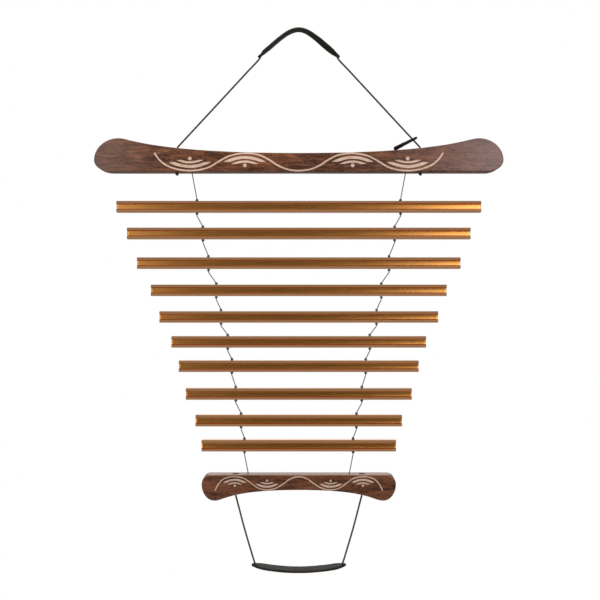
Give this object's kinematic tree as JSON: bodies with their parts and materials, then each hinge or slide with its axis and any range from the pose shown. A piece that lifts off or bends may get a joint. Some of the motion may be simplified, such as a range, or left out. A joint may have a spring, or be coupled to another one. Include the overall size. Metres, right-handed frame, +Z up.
{
  "type": "bar chime",
  "caption": "Hanging chime of graduated grooved metal bars on knotted strings between a long and a short wooden beam, with leather hanger and handle straps.",
  "frame": {"origin": "hanging point, under the crown of the hanger strap", "axes": "+Z up, +X along the bars to the right, front towards -Y"},
  "size_m": [0.531, 0.024, 0.713],
  "materials": {
    "dark_wood": "oiled",
    "bronze_metal": "satin, bronze coloured",
    "black_leather": "matte",
    "black_cord": "matte",
    "bar_string": "matte"
  },
  "bodies": {
    "hanger": {"hanger_strap": "black_leather", "hanger_cord": "black_cord"},
    "tab": {"cord_tab": "black_leather"},
    "upper_beam": {"upper_beam": "dark_wood", "hanger_knot_left": "black_cord", "hanger_knot_right": "black_cord", "string_anchor_left": "bar_string", "string_anchor_right": "bar_string"},
    "strings_1": {"left_string_1": "bar_string", "right_string_1": "bar_string"},
    "bar_1": {"chime_bar_1": "bronze_metal"},
    "strings_2": {"left_string_2": "bar_string", "right_string_2": "bar_string"},
    "bar_2": {"chime_bar_2": "bronze_metal"},
    "strings_3": {"left_string_3": "bar_string", "right_string_3": "bar_string"},
    "bar_3": {"chime_bar_3": "bronze_metal"},
    "strings_4": {"left_string_4": "bar_string", "right_string_4": "bar_string"},
    "bar_4": {"chime_bar_4": "bronze_metal"},
    "strings_5": {"left_string_5": "bar_string", "right_string_5": "bar_string"},
    "bar_5": {"chime_bar_5": "bronze_metal"},
    "strings_6": {"left_string_6": "bar_string", "right_string_6": "bar_string"},
    "bar_6": {"chime_bar_6": "bronze_metal"},
    "strings_7": {"left_string_7": "bar_string", "right_string_7": "bar_string"},
    "bar_7": {"chime_bar_7": "bronze_metal"},
    "strings_8": {"left_string_8": "bar_string", "right_string_8": "bar_string"},
    "bar_8": {"chime_bar_8": "bronze_metal"},
    "strings_9": {"left_string_9": "bar_string", "right_string_9": "bar_string"},
    "bar_9": {"chime_bar_9": "bronze_metal"},
    "strings_10": {"left_string_10": "bar_string", "right_string_10": "bar_string"},
    "bar_10": {"chime_bar_10": "bronze_metal"},
    "strings_11": {"left_string_11": "bar_string", "right_string_11": "bar_string"},
    "lower_beam": {"lower_beam": "dark_wood", "string_end_left": "bar_string", "string_end_right": "bar_string", "handle_knot_left": "black_cord", "handle_knot_right": "black_cord"},
    "handle": {"handle_cord": "black_cord", "handle_strap": "black_leather"}
  },
  "joints": [
    {"name": "tab_swivel", "type": "hinge", "parent": "hanger", "child": "tab", "pos_m": [0.14907, 0, -0.14168], "axis": [-0.6804, 0, 0.7329], "continuous": true},
    {"name": "upper_beam_tilt", "type": "hinge", "parent": "hanger", "child": "upper_beam", "pos_m": [0, 0, -0.15238], "axis": [1, 0, 0], "range_deg": [-60, 60]},
    {"name": "string_swing_1", "type": "hinge", "parent": "upper_beam", "child": "strings_1", "pos_m": [0, 0, -0.1861], "axis": [1, 0, 0], "range_deg": [-15, 15]},
    {"name": "bar_rock_1", "type": "hinge", "parent": "strings_1", "child": "bar_1", "pos_m": [0, 0, -0.2282], "axis": [1, 0, 0], "range_deg": [-5, 5]},
    {"name": "string_swing_2", "type": "hinge", "parent": "strings_1", "child": "strings_2", "pos_m": [0, 0, -0.2416], "axis": [1, 0, 0], "range_deg": [-15, 15]},
    {"name": "bar_rock_2", "type": "hinge", "parent": "strings_2", "child": "bar_2", "pos_m": [0, 0, -0.263], "axis": [1, 0, 0], "range_deg": [-5, 5]},
    {"name": "string_swing_3", "type": "hinge", "parent": "strings_2", "child": "strings_3", "pos_m": [0, 0, -0.2764], "axis": [1, 0, 0], "range_deg": [-15, 15]},
    {"name": "bar_rock_3", "type": "hinge", "parent": "strings_3", "child": "bar_3", "pos_m": [0, 0, -0.3017], "axis": [1, 0, 0], "range_deg": [-5, 5]},
    {"name": "string_swing_4", "type": "hinge", "parent": "strings_3", "child": "strings_4", "pos_m": [0, 0, -0.3151], "axis": [1, 0, 0], "range_deg": [-15, 15]},
    {"name": "bar_rock_4", "type": "hinge", "parent": "strings_4", "child": "bar_4", "pos_m": [0, 0, -0.3372], "axis": [1, 0, 0], "range_deg": [-5, 5]},
    {"name": "string_swing_5", "type": "hinge", "parent": "strings_4", "child": "strings_5", "pos_m": [0, 0, -0.3506], "axis": [1, 0, 0], "range_deg": [-15, 15]},
    {"name": "bar_rock_5", "type": "hinge", "parent": "strings_5", "child": "bar_5", "pos_m": [0, 0, -0.3719], "axis": [1, 0, 0], "range_deg": [-5, 5]},
    {"name": "string_swing_6", "type": "hinge", "parent": "strings_5", "child": "strings_6", "pos_m": [0, 0, -0.3853], "axis": [1, 0, 0], "range_deg": [-15, 15]},
    {"name": "bar_rock_6", "type": "hinge", "parent": "strings_6", "child": "bar_6", "pos_m": [0, 0, -0.4044], "axis": [1, 0, 0], "range_deg": [-5, 5]},
    {"name": "string_swing_7", "type": "hinge", "parent": "strings_6", "child": "strings_7", "pos_m": [0, 0, -0.4178], "axis": [1, 0, 0], "range_deg": [-15, 15]},
    {"name": "bar_rock_7", "type": "hinge", "parent": "strings_7", "child": "bar_7", "pos_m": [0, 0, -0.4361], "axis": [1, 0, 0], "range_deg": [-5, 5]},
    {"name": "string_swing_8", "type": "hinge", "parent": "strings_7", "child": "strings_8", "pos_m": [0, 0, -0.4495], "axis": [1, 0, 0], "range_deg": [-15, 15]},
    {"name": "bar_rock_8", "type": "hinge", "parent": "strings_8", "child": "bar_8", "pos_m": [0, 0, -0.4723], "axis": [1, 0, 0], "range_deg": [-5, 5]},
    {"name": "string_swing_9", "type": "hinge", "parent": "strings_8", "child": "strings_9", "pos_m": [0, 0, -0.4857], "axis": [1, 0, 0], "range_deg": [-15, 15]},
    {"name": "bar_rock_9", "type": "hinge", "parent": "strings_9", "child": "bar_9", "pos_m": [0, 0, -0.507], "axis": [1, 0, 0], "range_deg": [-5, 5]},
    {"name": "string_swing_10", "type": "hinge", "parent": "strings_9", "child": "strings_10", "pos_m": [0, 0, -0.5204], "axis": [1, 0, 0], "range_deg": [-15, 15]},
    {"name": "bar_rock_10", "type": "hinge", "parent": "strings_10", "child": "bar_10", "pos_m": [0, 0, -0.5396], "axis": [1, 0, 0], "range_deg": [-5, 5]},
    {"name": "string_swing_11", "type": "hinge", "parent": "strings_10", "child": "strings_11", "pos_m": [0, 0, -0.553], "axis": [1, 0, 0], "range_deg": [-15, 15]},
    {"name": "lower_beam_tilt", "type": "hinge", "parent": "strings_11", "child": "lower_beam", "pos_m": [0, 0, -0.5771], "axis": [1, 0, 0], "range_deg": [-60, 60]},
    {"name": "handle_swing", "type": "hinge", "parent": "lower_beam", "child": "handle", "pos_m": [0, 0, -0.60594], "axis": [1, 0, 0], "range_deg": [-75, 75]}
  ]
}
